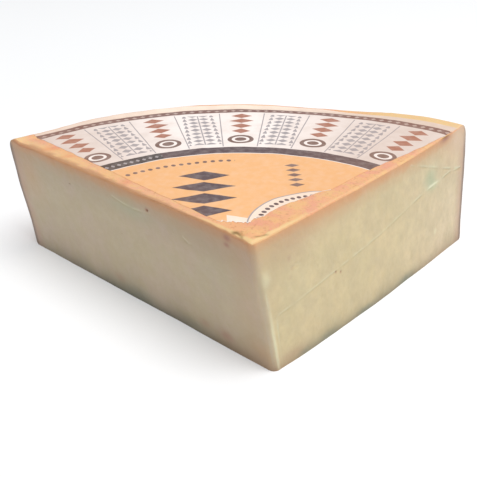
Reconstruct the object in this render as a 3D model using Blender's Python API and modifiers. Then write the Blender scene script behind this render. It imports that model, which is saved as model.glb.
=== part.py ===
"""A quarter of a wheel of semi-hard mountain cheese, with the quarter of its round paper label.

Run with: blender --background --python part.py

The wheel's half-section is a grid shaped to the rind's rim and spun through the quarter turn. The
quarter is then made as uneven as a hand-cut one. Metres, +Z up, the wheel's centre towards -Y, and the
origin under the middle of the bounding box, on the surface that the cheese stands on.
"""

import math

import bmesh
import bpy

# The whole wheel.
WHEEL_RADIUS = 0.200
WHEEL_HEIGHT = 0.0725
SHOULDER_RADIUS = 0.0075  # rounding of the rind between top and side
FOOT_RADIUS = 0.002  # rounding of the rind between side and bottom
BELLY_LEFT = 0.0034  # how far the side swells below the shoulder at the left cut
BELLY_RIGHT = 0.0008
BELLY_START, BELLY_PEAK = 0.13, 0.62  # heights, as parts of the wheel's height

# The cut.
CUT_ANGLE = 90.0
TIP_ROUNDING = 0.003  # rounding of the upright edge where the two cuts meet
TIP_BULGE, TIP_BULGE_REACH = 0.0017, 0.013  # the left cut swells outwards near the top of that edge
RIGHT_BOW_TOP, RIGHT_BOW_FOOT = 0.0014, 0.0025  # how far the right cut swells out at most
BOW_SKEW = 0.7  # below 1, it is fullest nearer the tip than the rim
BOW_DEPTH = 0.05  # how deep into the cheese that swelling reaches

# How the cheese has sagged: the bottom has moved under the top, and turned a little.
LEAN_X, LEAN_Y = 0.0067, -0.0012
TIP_LEAN_X = 0.0046  # more lean at the tip, none at the rim
TWIST = -0.3

# How the top rises and falls from one level.
RISE_RIGHT = 0.0057  # at the right cut's far end
CORNER_LIFT = 0.0016  # more, in the far right corner
RIM_LIP = 0.0014  # a raised lip round the outermost part of the top
# The rim's waves: angle from the quarter's middle line, and how far the top stands above its level there.
RIM_WAVES = (
    (-45.0, -0.0002),
    (-40.0, -0.0011),
    (-36.5, -0.0013),
    (-31.0, -0.0003),
    (-25.0, 0.0),
    (-5.0, 0.0),
    (0.0, -0.0003),
    (5.0, -0.0007),
    (10.0, -0.0015),
    (16.0, -0.0022),
    (20.0, -0.0020),
    (26.0, -0.0016),
    (28.5, -0.0010),
    (31.0, -0.0004),
    (35.0, 0.0),
    (38.5, 0.0005),
    (45.0, 0.0003),
)

# Two dents in the rind at the tip: place in plan, half width, depth.
TIP_DENTS = (
    ((-0.0055, 0.0095), 0.0024, 0.0010),
    ((0.0045, 0.0080), 0.0020, 0.0006),
)

# The label: pasted on a little unevenly, and trimmed shy of the two cuts.
# The label's outer edge: angle from the middle line, and the radius where the paper ends.
LABEL_EDGE = (
    (-45.0, 0.1965),
    (-12.0, 0.1965),
    (-7.0, 0.1952),
    (17.0, 0.1950),
    (21.0, 0.1932),
    (28.0, 0.1908),
    (38.0, 0.1900),
    (45.0, 0.1898),
)
LABEL_THICKNESS = 0.0003
LABEL_GAP = 0.0004
LABEL_START_HEIGHT = 0.10  # where the flat sheet starts, above all of the cheese
LEFT_MARGIN, LEFT_MARGIN_SLOPE = 0.0032, 0.052  # grows towards the rim
# The right margin: radius, and how far inside the cut the paper ends there.
RIGHT_MARGINS = (
    (0.095, 0.0075),
    (0.112, 0.0065),
    (0.130, 0.0046),
    (0.148, 0.0024),
    (0.165, 0.0014),
    (0.174, 0.0002),
)
TEAR_RADIUS, TEAR_SLOPE = 0.0200, 0.15  # the paper is missing at the tip, straight across on the left
# On the right it is torn in a curve outwards: angle from the middle line, and the radius where it starts.
TEAR_CURVE = (
    (0.0, 0.0200),
    (4.0, 0.0240),
    (14.0, 0.0262),
    (19.0, 0.0326),
    (26.2, 0.0427),
    (31.6, 0.0521),
    (33.7, 0.0569),
    (36.5, 0.0655),
    (45.0, 0.0780),
)

# How finely the shapes are divided.
SECTION_COLUMNS, SECTION_ROWS, SPIN_STEPS = 24, 12, 28
LABEL_COLUMNS, LABEL_ROWS = 28, 20


def clear_scene():
    for old in list(bpy.data.objects):
        bpy.data.objects.remove(old, do_unlink=True)


def blend(low, high, part):
    return low + (high - low) * part


def ease(t):
    """0 to 1 with a soft start and a soft end."""
    t = min(max(t, 0.0), 1.0)
    return t * t * (3.0 - 2.0 * t)


def between(value, low, high):
    """How far value has come from low to high, eased."""
    return ease((value - low) / (high - low))


def profile_at(profile, place):
    """The value at a place along a profile of (place, value)."""
    for (start, low), (end, high) in zip(profile, profile[1:]):
        if place <= end:
            return blend(low, high, max(place - start, 0.0) / (end - start))
    return profile[-1][1]


def angle_of(x, y):
    """Degrees from the quarter's middle line, positive to the right."""
    return math.degrees(math.atan2(x, y))


def corner_rounded(a, b):
    """Moves a place in the unit square, whose outer corner is (1, 1), into the quarter disc."""
    return a * math.sqrt(1.0 - b * b / 2.0), b * math.sqrt(1.0 - a * a / 2.0)


def rounded_section(r, z):
    """A place in the wheel's square half-section, moved so that the rim's two corners are round."""
    for corner_z, up, radius in ((WHEEL_HEIGHT, 1.0, SHOULDER_RADIUS), (0.0, -1.0, FOOT_RADIUS)):
        a = (r - (WHEEL_RADIUS - radius)) / radius
        b = up * (z - (corner_z - up * radius)) / radius
        if a > 0.0 and b > 0.0:
            a, b = corner_rounded(a, b)
            r = WHEEL_RADIUS - radius + a * radius
            z = corner_z - up * radius + up * b * radius
    return r, z


def swollen_rim(x, y, height):
    """The side of the wheel bellies out under its shoulder, more at the left cut."""
    radius = math.hypot(x, y)
    belly = blend(BELLY_LEFT, BELLY_RIGHT, angle_of(x, y) / CUT_ANGLE + 0.5)
    belly *= between(height, BELLY_START, BELLY_PEAK)
    grow = 1.0 + belly * between(radius, 0.7 * WHEEL_RADIUS, WHEEL_RADIUS) / WHEEL_RADIUS
    return x * grow, y * grow


def rounded_tip(x, y):
    """The upright edge where the cuts meet, worn round."""
    from_right, from_left = (y - x) / math.sqrt(2.0), (y + x) / math.sqrt(2.0)
    a, b = 1.0 - from_left / TIP_ROUNDING, 1.0 - from_right / TIP_ROUNDING
    if a <= 0.0 or b <= 0.0:
        return x, y
    a, b = corner_rounded(a, b)
    from_left, from_right = (1.0 - a) * TIP_ROUNDING, (1.0 - b) * TIP_ROUNDING
    return (from_left - from_right) / math.sqrt(2.0), (from_left + from_right) / math.sqrt(2.0)


def bulging_tip(x, y, height):
    """The top of the tip, where the knife left the left cut slightly full."""
    out = TIP_BULGE * height * (1.0 - between(math.hypot(x, y), 0.0, TIP_BULGE_REACH)) / math.sqrt(2.0)
    return x - out, y - out


def bowed_cut(x, y, height):
    """The right cut, which a long knife left slightly full in its middle."""
    along, inside = (x + y) / math.sqrt(2.0), (y - x) / math.sqrt(2.0)
    out = blend(RIGHT_BOW_FOOT, RIGHT_BOW_TOP, height)
    out *= math.sin(math.pi * min(max(along / WHEEL_RADIUS, 0.0), 1.0) ** BOW_SKEW)
    out *= 1.0 - ease(inside / BOW_DEPTH)
    return x + out / math.sqrt(2.0), y - out / math.sqrt(2.0)


def top_rise(x, y):
    """How far the top stands above the wheel's height at a place in plan."""
    out = math.hypot(x, y) / WHEEL_RADIUS
    angle = angle_of(x, y)
    tilt = RISE_RIGHT * out * math.sin(math.radians(angle + CUT_ANGLE / 2.0))
    corner = CORNER_LIFT * between(out, 0.62, 1.0) * between(angle, 18.0, 43.0)
    waves = profile_at(RIM_WAVES, angle) * between(out, 0.90, 0.985)
    lip = RIM_LIP * between(out, 0.955, 0.99)
    return tilt + corner + waves + lip


def dent_depth(x, y):
    depth = 0.0
    for (dent_x, dent_y), half_width, deepest in TIP_DENTS:
        reach = math.hypot(x - dent_x, y - dent_y) / half_width
        depth += deepest * math.exp(-reach * reach)
    return depth


def settled(x, y, height):
    """Leans and twists what lies below the top, as a cheese that has sagged on its shelf."""
    below = 1.0 - height
    towards_tip = 1.0 - min(math.hypot(x, y) / WHEEL_RADIUS, 1.0)
    turn = math.radians(TWIST) * below
    turned_x = x * math.cos(turn) - y * math.sin(turn)
    turned_y = x * math.sin(turn) + y * math.cos(turn)
    return turned_x + (LEAN_X + TIP_LEAN_X * towards_tip) * below, turned_y + LEAN_Y * below


def uneven(place):
    """Where a place of the regular quarter wheel lies in the real, hand-cut one."""
    height = place.z / WHEEL_HEIGHT
    x, y = swollen_rim(place.x, place.y, height)
    x, y = rounded_tip(x, y)
    x, y = bulging_tip(x, y, height)
    x, y = bowed_cut(x, y, height)
    z = height * (WHEEL_HEIGHT + top_rise(x, y)) - dent_depth(x, y) * height**4
    x, y = settled(x, y, height)
    return x, y, z


def half_section(bm):
    """The wheel's half-section as a grid, standing in the plane of the right cut."""
    made = bmesh.ops.create_grid(bm, x_segments=SECTION_COLUMNS, y_segments=SECTION_ROWS, size=0.5)
    outwards = math.sqrt(0.5)
    for vertex in made["verts"]:
        r = ease(vertex.co.x + 0.5) * WHEEL_RADIUS
        z = ease(vertex.co.y + 0.5) * WHEEL_HEIGHT
        r, z = rounded_section(r, z)
        vertex.co = (r * outwards, r * outwards, z)


def material(name, colour, roughness):
    made = bpy.data.materials.new(name)
    made.use_nodes = True
    shader = made.node_tree.nodes["Principled BSDF"]
    shader.inputs["Base Color"].default_value = (*colour, 1.0)
    shader.inputs["Roughness"].default_value = roughness
    shader.inputs["Metallic"].default_value = 0.0
    return made


def object_of(bm, name, collection, materials):
    mesh = bpy.data.meshes.new(name)
    bm.to_mesh(mesh)
    bm.free()
    for each in materials:
        mesh.materials.append(each)
    mesh.shade_smooth()
    mesh.set_sharp_from_angle(angle=math.radians(40.0))
    made = bpy.data.objects.new(name, mesh)
    collection.objects.link(made)
    return made


def make_cheese(collection):
    """The cheese itself, solid from rind to rind."""
    bm = bmesh.new()
    half_section(bm)
    bmesh.ops.spin(
        bm,
        geom=bm.verts[:] + bm.edges[:] + bm.faces[:],
        cent=(0.0, 0.0, 0.0),
        axis=(0.0, 0.0, 1.0),
        angle=math.radians(CUT_ANGLE),
        steps=SPIN_STEPS,
        use_merge=False,
        use_duplicate=False,
    )
    bmesh.ops.remove_doubles(bm, verts=bm.verts[:], dist=0.00001)
    bmesh.ops.recalc_face_normals(bm, faces=bm.faces[:])
    rind_slot = 1
    for face in bm.faces:
        middle = face.calc_center_median()
        on_a_cut = abs(abs(angle_of(middle.x, middle.y)) - CUT_ANGLE / 2.0) < 0.01
        face.material_index = 0 if on_a_cut else rind_slot
    for vertex in bm.verts:
        vertex.co = uneven(vertex.co)
    paste = material("cheese paste", (0.72, 0.62, 0.40), 0.45)
    rind = material("washed rind", (0.80, 0.46, 0.22), 0.60)
    return object_of(bm, "cheese", collection, (paste, rind))


def inner_label_radius(angle):
    """Where the label starts, seen from the wheel's centre."""
    if angle > 0.0:
        return profile_at(TEAR_CURVE, angle)
    sine, cosine = math.sin(math.radians(angle)), math.cos(math.radians(angle))
    return TEAR_RADIUS / (cosine + TEAR_SLOPE * sine)


def label_place(across, out):
    """A place on the label in plan, from shares across (left to right) and out (centre to rim)."""
    angle = CUT_ANGLE * (across - 0.5)
    for _ in range(4):  # the margins depend on the radius, and the radius on the angle
        radius = blend(inner_label_radius(angle), profile_at(LABEL_EDGE, angle), out)
        left = LEFT_MARGIN + LEFT_MARGIN_SLOPE * radius
        right = profile_at(RIGHT_MARGINS, radius)
        first = math.degrees(math.asin(left / radius)) - CUT_ANGLE / 2.0
        last = CUT_ANGLE / 2.0 - math.degrees(math.asin(right / radius))
        angle = blend(first, last, across)
    return radius * math.sin(math.radians(angle)), radius * math.cos(math.radians(angle))


def make_label(collection, cheese):
    """The label, a flat sheet of paper laid onto the top, so that it follows the rind just above it."""
    bm = bmesh.new()
    made = bmesh.ops.create_grid(bm, x_segments=LABEL_COLUMNS, y_segments=LABEL_ROWS, size=0.5)
    for vertex in made["verts"]:
        x, y = label_place(vertex.co.x + 0.5, ease(vertex.co.y + 0.5))
        vertex.co = (x, y, LABEL_START_HEIGHT)
    bmesh.ops.recalc_face_normals(bm, faces=bm.faces[:])
    paper = material("label paper", (0.90, 0.72, 0.45), 0.55)
    label = object_of(bm, "label", collection, (paper,))
    laid = label.modifiers.new("Laid on the rind", "SHRINKWRAP")
    laid.target = cheese
    laid.wrap_method = "PROJECT"
    laid.use_project_z = True
    laid.use_negative_direction = True
    laid.use_positive_direction = False
    laid.wrap_mode = "ABOVE_SURFACE"
    laid.offset = LABEL_GAP
    paper_sheet = label.modifiers.new("Paper", "SOLIDIFY")
    paper_sheet.thickness = LABEL_THICKNESS
    paper_sheet.offset = 1.0
    return label


def centre_over_origin(cheese, pieces):
    """Moves all pieces alike, so that the cheese's bounding box stands over the origin."""
    places = [vertex.co for vertex in cheese.data.vertices]
    middle_x = (min(p.x for p in places) + max(p.x for p in places)) / 2.0
    middle_y = (min(p.y for p in places) + max(p.y for p in places)) / 2.0
    for piece in pieces:
        for vertex in piece.data.vertices:
            vertex.co.x -= middle_x
            vertex.co.y -= middle_y


def main():
    clear_scene()
    collection = bpy.data.collections.new("Cheese quarter")
    bpy.context.scene.collection.children.link(collection)
    cheese = make_cheese(collection)
    label = make_label(collection, cheese)
    centre_over_origin(cheese, (cheese, label))


if __name__ == "__main__":
    main()
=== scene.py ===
"""A quarter of a wheel of semi-hard cheese with its printed paper label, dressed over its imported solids.

It is laid out as a Blender add-on and run as a script. The wheel is first modelled as a regular quarter
around its own axis, and each place on it is then moved to where it lies in the real, hand-cut piece.
Metres, +Z up, the tip towards -Y. The pieces keep the place on the regular wheel that each of their
points came from in the attribute "wheel_place", which their materials read.
"""

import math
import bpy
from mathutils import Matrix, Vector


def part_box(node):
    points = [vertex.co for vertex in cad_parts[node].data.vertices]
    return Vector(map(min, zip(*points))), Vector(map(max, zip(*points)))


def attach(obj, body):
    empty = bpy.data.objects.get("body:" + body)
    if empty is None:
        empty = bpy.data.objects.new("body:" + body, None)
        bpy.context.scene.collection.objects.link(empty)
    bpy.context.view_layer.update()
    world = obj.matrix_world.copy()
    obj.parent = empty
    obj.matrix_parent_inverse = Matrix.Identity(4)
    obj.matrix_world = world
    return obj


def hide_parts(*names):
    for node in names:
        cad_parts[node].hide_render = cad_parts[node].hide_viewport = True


bl_info = {
    "name": "Cheese quarter",
    "version": (1, 0, 0),
    "blender": (4, 5, 0),
    "location": "3D View > Sidebar > Cheese",
    "description": "Models a hand-cut quarter wheel of semi-hard cheese with its paper label",
    "category": "Add Mesh",
}

import bmesh
import bpy
from mathutils import Euler, Matrix, Vector, noise

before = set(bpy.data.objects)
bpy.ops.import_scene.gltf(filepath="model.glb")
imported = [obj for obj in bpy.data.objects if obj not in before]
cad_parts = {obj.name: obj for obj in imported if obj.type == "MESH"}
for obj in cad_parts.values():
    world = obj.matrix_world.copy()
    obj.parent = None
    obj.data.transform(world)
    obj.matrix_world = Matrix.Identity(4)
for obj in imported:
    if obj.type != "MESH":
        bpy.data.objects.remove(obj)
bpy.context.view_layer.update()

# The whole wheel.
WHEEL_RADIUS = 0.200
WHEEL_HEIGHT = 0.0725
SHOULDER_RADIUS = 0.0075  # rounding of the rind between top and side
FOOT_RADIUS = 0.002  # rounding of the rind between side and bottom
BELLY_LEFT = 0.0034  # how far the side swells below the shoulder at the left cut
BELLY_RIGHT = 0.0008
BELLY_START, BELLY_PEAK = 0.13, 0.62  # heights, as parts of the wheel's height

# The cut.
CUT_ANGLE = 90.0
TIP_ROUNDING = 0.003  # rounding of the upright edge where the two cuts meet
TIP_BULGE, TIP_BULGE_REACH = 0.0017, 0.013  # the left cut swells outwards near the top of that edge
RIGHT_BOW_TOP, RIGHT_BOW_FOOT = 0.0014, 0.0025  # how far the right cut swells out at most
BOW_SKEW = 0.7  # below 1, it is fullest nearer the tip than the rim
BOW_DEPTH = 0.05  # how deep into the cheese that swelling reaches

# How the cheese has sagged: the bottom has moved under the top, and turned a little.
LEAN_X, LEAN_Y = 0.0067, -0.0012
TIP_LEAN_X = 0.0046  # more lean at the tip, none at the rim
TWIST = -0.3

# How the top rises and falls from one level.
RISE_RIGHT = 0.0057  # at the right cut's far end
CORNER_LIFT = 0.0016  # more, in the far right corner
RIM_LIP = 0.0014  # a raised lip round the outermost part of the top
# The rim's waves: angle from the quarter's middle line, and how far the top stands above its level there.
RIM_WAVES = (
    (-45.0, -0.0002), (-40.0, -0.0011), (-36.5, -0.0013), (-31.0, -0.0003), (-25.0, 0.0), (-5.0, 0.0),
    (0.0, -0.0003), (5.0, -0.0007), (10.0, -0.0015), (16.0, -0.0022), (20.0, -0.0020), (26.0, -0.0016),
    (28.5, -0.0010), (31.0, -0.0004), (35.0, 0.0), (38.5, 0.0005), (45.0, 0.0003),
)

# Two dents in the rind at the tip: place in plan, half width, depth.
TIP_DENTS = (
    ((-0.0055, 0.0095), 0.0024, 0.0010),
    ((0.0045, 0.0080), 0.0020, 0.0006),
)

# The label: pasted on a little unevenly, off the wheel's centre, and trimmed shy of the two cuts.
LABEL_CENTRE = (-0.0083, -0.0025)
# The label's outer edge: angle from the middle line, and the radius where the paper ends.
LABEL_EDGE = (
    (-45.0, 0.1965), (-12.0, 0.1965), (-7.0, 0.1952), (17.0, 0.1950), (21.0, 0.1932), (28.0, 0.1908),
    (38.0, 0.1900), (45.0, 0.1898),
)
LABEL_START_HEIGHT = 0.10  # where the flat sheet starts, above all of the cheese
LEFT_MARGIN, LEFT_MARGIN_SLOPE = 0.0032, 0.052  # grows towards the rim
# The right margin: radius, and how far inside the cut the paper ends there.
RIGHT_MARGINS = (
    (0.095, 0.0075), (0.112, 0.0065), (0.130, 0.0046), (0.148, 0.0024), (0.165, 0.0014), (0.174, 0.0002),
)
TEAR_RADIUS, TEAR_SLOPE = 0.0200, 0.15  # the paper is missing at the tip, straight across on the left
# On the right it is torn in a curve outwards: angle from the middle line, and the radius where it starts.
TEAR_CURVE = (
    (0.0, 0.0200), (4.0, 0.0240), (14.0, 0.0262), (19.0, 0.0326), (26.2, 0.0427), (31.6, 0.0521),
    (33.7, 0.0569), (36.5, 0.0655), (45.0, 0.0780),
)

# How finely the shapes are divided, and how much closer the lines lie near the edges than evenly.
SECTION_COLUMNS, SECTION_ROWS, QUARTER_COLUMNS = 190, 84, 96
CROWDING = 0.6
EDGE_COLUMNS = (0.0, 0.00025, 0.00055, 0.00095, 0.0015, 0.0023)  # the first lines beside a cut
LABEL_COLUMNS, LABEL_ROWS = 150, 120
MERGE_DISTANCE = 0.00001
SMOOTH_ANGLE = 40.0  # an edge that turns more than this is shaded sharp
RIND_FADE = 0.004  # over which the rind's roughness fades away from the top and from the side

# Marks on each cut, by place along the cut from the tip, and height. The knife marks have a strength,
# which grows or fades from their first to their last point.
LEFT, RIGHT = -1, 1
KNIFE_MARKS = {
    RIGHT: (
        ((0.45, 0.55), ((0.008, 0.0295), (0.06, 0.035), (0.1, 0.0392))),
        ((0.55, 1.0), ((0.1, 0.0392), (0.145, 0.046), (0.18, 0.0492), (0.192, 0.0475))),
        ((0.5, 0.9), ((0.134, 0.0673), (0.149, 0.062), (0.174, 0.0532), (0.194, 0.0472))),
        ((0.5, 0.2), ((0.0032, 0.043), (0.0034, 0.001))),
        ((0.6, 0.1), ((0.0076, 0.03), (0.0068, 0.001))),
        ((0.3, 0.2), ((0.0215, 0.0522), (0.025, 0.05), (0.0287, 0.0492))),
    ),
    LEFT: (
        ((0.55, 0.2), ((0.104, 0.0633), (0.096, 0.0618), (0.087, 0.0613), (0.073, 0.0627))),
        ((0.35, 0.1), ((0.0497, 0.0572), (0.0467, 0.0547), (0.044, 0.0555))),
    ),
}
KNIFE_MARK_WIDTH = 0.0006
# Small round holes that gas left in the paste: along, height, radius.
EYES = {
    LEFT: (
        (0.0752, 0.0647, 0.001), (0.1437, 0.0597, 0.0006), (0.1027, 0.0417, 0.0005),
    ),
    RIGHT: (
        (0.0557, 0.0342, 0.0006), (0.0597, 0.0327, 0.0006),
    ),
}
EYE_DEPTH = 0.9  # in radii
REFINED_REACH = 0.0018  # how far from a mark the mesh is refined
# Ridges and nubs that the knife left, in millimetres: along, height, half sizes along and up, and how far
# each stands out.
NUBS = {
    RIGHT: (
        (5.2, 51.5, 2.6, 3.6, 0.7), (3.6, 17.0, 1.1, 21.0, 0.4), (25.0, 50.5, 4.0, 1.2, -0.4),
    ),
    LEFT: (
        (48.0, 56.0, 3.0, 1.1, -0.3),
    ),
}


def blend(low, high, part):
    return low + (high - low) * part


def ease(t):
    """0 to 1 with a soft start and a soft end."""
    t = min(max(t, 0.0), 1.0)
    return t * t * (3.0 - 2.0 * t)


def between(value, low, high):
    """How far value has come from low to high, eased."""
    return ease((value - low) / (high - low))


def profile_at(profile, place):
    """The value at a place along a profile of (place, value)."""
    for (start, low), (end, high) in zip(profile, profile[1:]):
        if place <= end:
            return blend(low, high, max(place - start, 0.0) / (end - start))
    return profile[-1][1]


def angle_of(x, y):
    """Degrees from the quarter's middle line, positive to the right."""
    return math.degrees(math.atan2(x, y))


def corner_rounded(a, b):
    """Moves a place in the unit square, whose outer corner is (1, 1), into the quarter disc."""
    return a * math.sqrt(1.0 - b * b / 2.0), b * math.sqrt(1.0 - a * a / 2.0)


def rounded_section(r, z):
    """A place in the wheel's square half-section, moved so that the rim's two corners are round."""
    for corner_z, up, radius in ((WHEEL_HEIGHT, 1.0, SHOULDER_RADIUS), (0.0, -1.0, FOOT_RADIUS)):
        a = (r - (WHEEL_RADIUS - radius)) / radius
        b = up * (z - (corner_z - up * radius)) / radius
        if a > 0.0 and b > 0.0:
            a, b = corner_rounded(a, b)
            r = WHEEL_RADIUS - radius + a * radius
            z = corner_z - up * radius + up * b * radius
    return r, z


def swollen_rim(x, y, height):
    """The side of the wheel bellies out under its shoulder, more at the left cut."""
    radius = math.hypot(x, y)
    belly = blend(BELLY_LEFT, BELLY_RIGHT, angle_of(x, y) / CUT_ANGLE + 0.5)
    belly *= between(height, BELLY_START, BELLY_PEAK)
    grow = 1.0 + belly * between(radius, 0.7 * WHEEL_RADIUS, WHEEL_RADIUS) / WHEEL_RADIUS
    return x * grow, y * grow


def from_cuts(x, y):
    """How far inside the left and the right cut a place in plan lies."""
    return (y + x) / math.sqrt(2.0), (y - x) / math.sqrt(2.0)


def place_between_cuts(from_left, from_right):
    return (from_left - from_right) / math.sqrt(2.0), (from_left + from_right) / math.sqrt(2.0)


def rounded_tip(x, y):
    """The upright edge where the cuts meet, worn round."""
    from_left, from_right = from_cuts(x, y)
    a, b = 1.0 - from_left / TIP_ROUNDING, 1.0 - from_right / TIP_ROUNDING
    if a <= 0.0 or b <= 0.0:
        return x, y
    a, b = corner_rounded(a, b)
    return place_between_cuts((1.0 - a) * TIP_ROUNDING, (1.0 - b) * TIP_ROUNDING)


def bulging_tip(x, y, height):
    """The top of the tip, where the knife left the left cut slightly full."""
    out = TIP_BULGE * height * (1.0 - between(math.hypot(x, y), 0.0, TIP_BULGE_REACH)) / math.sqrt(2.0)
    return x - out, y - out


def bowed_cut(x, y, height):
    """The right cut, which a long knife left slightly full in its middle."""
    along, inside = from_cuts(x, y)
    out = blend(RIGHT_BOW_FOOT, RIGHT_BOW_TOP, height)
    out *= math.sin(math.pi * min(max(along / WHEEL_RADIUS, 0.0), 1.0) ** BOW_SKEW)
    out *= 1.0 - ease(inside / BOW_DEPTH)
    return place_between_cuts(along, inside - out)


def top_rise(x, y):
    """How far the top stands above the wheel's height at a place in plan."""
    out = math.hypot(x, y) / WHEEL_RADIUS
    angle = angle_of(x, y)
    tilt = RISE_RIGHT * out * math.sin(math.radians(angle + CUT_ANGLE / 2.0))
    corner = CORNER_LIFT * between(out, 0.62, 1.0) * between(angle, 18.0, 43.0)
    waves = profile_at(RIM_WAVES, angle) * between(out, 0.90, 0.985)
    lip = RIM_LIP * between(out, 0.955, 0.99)
    return tilt + corner + waves + lip


def dent_depth(x, y):
    depth = 0.0
    for (dent_x, dent_y), half_width, deepest in TIP_DENTS:
        reach = math.hypot(x - dent_x, y - dent_y) / half_width
        depth += deepest * math.exp(-reach * reach)
    return depth


def settled(x, y, height):
    """Leans and twists what lies below the top, as a cheese that has sagged on its shelf."""
    below = 1.0 - height
    towards_tip = 1.0 - min(math.hypot(x, y) / WHEEL_RADIUS, 1.0)
    turn = math.radians(TWIST) * below
    turned_x = x * math.cos(turn) - y * math.sin(turn)
    turned_y = x * math.sin(turn) + y * math.cos(turn)
    return turned_x + (LEAN_X + TIP_LEAN_X * towards_tip) * below, turned_y + LEAN_Y * below


def uneven(x, y, z):
    """Where a place of the regular quarter wheel lies in the real, hand-cut one."""
    height = z / WHEEL_HEIGHT
    x, y = swollen_rim(x, y, height)
    x, y = rounded_tip(x, y)
    x, y = bulging_tip(x, y, height)
    x, y = bowed_cut(x, y, height)
    z = height * (WHEEL_HEIGHT + top_rise(x, y)) - dent_depth(x, y) * height**4
    x, y = settled(x, y, height)
    return Vector((x, y, z))


def worn_top_edge(x, y, z, roundings, tip_rounding):
    """The edges between the top and the left and right cuts, which are slightly round."""
    inside = list(from_cuts(x, y))
    for cut in (0, 1):
        radius = blend(tip_rounding, roundings[cut], between(math.hypot(x, y), 0.008, 0.030))
        a, b = 1.0 - inside[cut] / radius, 1.0 - (WHEEL_HEIGHT - z) / radius
        if a > 0.0 and b > 0.0:
            a, b = corner_rounded(min(a, 1.0), min(b, 1.0))
            inside[cut] = (1.0 - a) * radius
            z = WHEEL_HEIGHT - (1.0 - b) * radius
    return (*place_between_cuts(*inside), z)


def spread(share):
    """An even share from 0 to 1, moved so that such places lie closer together at both ends."""
    return share - CROWDING * math.sin(2.0 * math.pi * share) / (2.0 * math.pi)


def column_place(x, y):
    """Moves a place of the evenly spun quarter so that its first columns run close beside the cuts."""
    radius, angle = math.hypot(x, y), angle_of(x, y)
    half = QUARTER_COLUMNS // 2
    number = round((CUT_ANGLE / 2.0 - abs(angle)) / CUT_ANGLE * QUARTER_COLUMNS)
    if radius < MERGE_DISTANCE or number == 0:
        return x, y
    last = len(EDGE_COLUMNS) - 1
    beside = EDGE_COLUMNS[min(number, last)] / radius
    even = CUT_ANGLE * min(number, last) / QUARTER_COLUMNS
    first = math.degrees(math.asin(beside)) if beside < 0.5 else even
    from_cut = min(first, even)
    if number > last:
        from_cut = blend(from_cut, CUT_ANGLE / 2.0, (number - last) / (half - last))
    angle = math.radians(math.copysign(CUT_ANGLE / 2.0 - from_cut, angle))
    return radius * math.sin(angle), radius * math.cos(angle)


def line_distance(along, height, line):
    """The distance of a place on a cut to a line of points on it, and how far along the line that is."""
    place = Vector((along, height))
    nearest, share = 1.0, 0.0
    for number, (start, end) in enumerate(zip(line, line[1:])):
        start, stretch = Vector(start), Vector(end) - Vector(start)
        part = min(max((place - start).dot(stretch) / stretch.length_squared, 0.0), 1.0)
        distance = (start + stretch * part - place).length
        if distance < nearest:
            nearest, share = distance, (number + part) / (len(line) - 1)
    return nearest, share


def knife_mark(side, along, height):
    """How strongly the knife marked a place on a cut, from 0 to 1."""
    strongest = 0.0
    for (first, last), line in KNIFE_MARKS.get(side, ()):
        distance, share = line_distance(along, height, line)
        reach = distance / KNIFE_MARK_WIDTH
        strongest = max(strongest, blend(first, last, share) * math.exp(-reach * reach))
    broken = between(noise.noise(Vector((along * 110.0, height * 110.0, 3.0 * side))), -0.55, 0.30)
    return strongest * broken


def cut_place(x, y, z):
    """Which cut a place of the regular wheel lies on, or 0, and how far along and up it lies there."""
    from_left, from_right = from_cuts(x, y)
    if min(from_left, from_right) > MERGE_DISTANCE:
        return 0, 0.0, z
    return (RIGHT, from_left, z) if from_right <= from_left else (LEFT, from_right, z)


def near_a_mark(side, along, height):
    """Whether a place on a cut lies so near a knife mark or an eye that the mesh there has to be finer."""
    for _, line in KNIFE_MARKS[side]:
        if line_distance(along, height, line)[0] < REFINED_REACH:
            return True
    for eye_along, eye_height, radius in EYES[side]:
        if math.hypot(along - eye_along, height - eye_height) < radius + REFINED_REACH:
            return True
    return False


def spots(side, along, height, marks):
    """How strong soft oval marks, listed by side in millimetres, are at a place in metres."""
    total = 0.0
    for mark_along, mark_height, half_along, half_height, strength in marks.get(side, ()):
        off_along, off_height = 1000.0 * along - mark_along, 1000.0 * height - mark_height
        total += strength * math.exp(-((off_along / half_along) ** 2) - (off_height / half_height) ** 2)
    return total


def cut_relief(side, along, height, depth, mark_depth):
    """How far the surface of a cut stands out from its plane."""
    place = Vector((along, height, 0.37 * side))
    out = depth * noise.noise(place * Vector((22.0, 38.0, 1.0)))
    out += 0.30 * depth * noise.noise(place * Vector((90.0, 130.0, 1.0)) + Vector((7.0, 0.0, 0.0)))
    out -= mark_depth * knife_mark(side, along, height)
    for eye_along, eye_height, radius in EYES[side]:
        reach = math.hypot(along - eye_along, height - eye_height) / radius
        out -= EYE_DEPTH * radius * (1.0 - between(reach, 0.2, 1.2))
    return out + spots(side, along, height, NUBS) / 1000.0


def rind_relief(x, y, z, depth):
    """How far the rind stands out: shallow waves, and the crumpled print of the cloth it was pressed in."""
    place = Vector((x, y, z))
    out = depth * noise.noise(place * 60.0)
    return out + 0.55 * depth * noise.noise(place * 190.0) + 0.25 * depth * noise.noise(place * 520.0)


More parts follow.
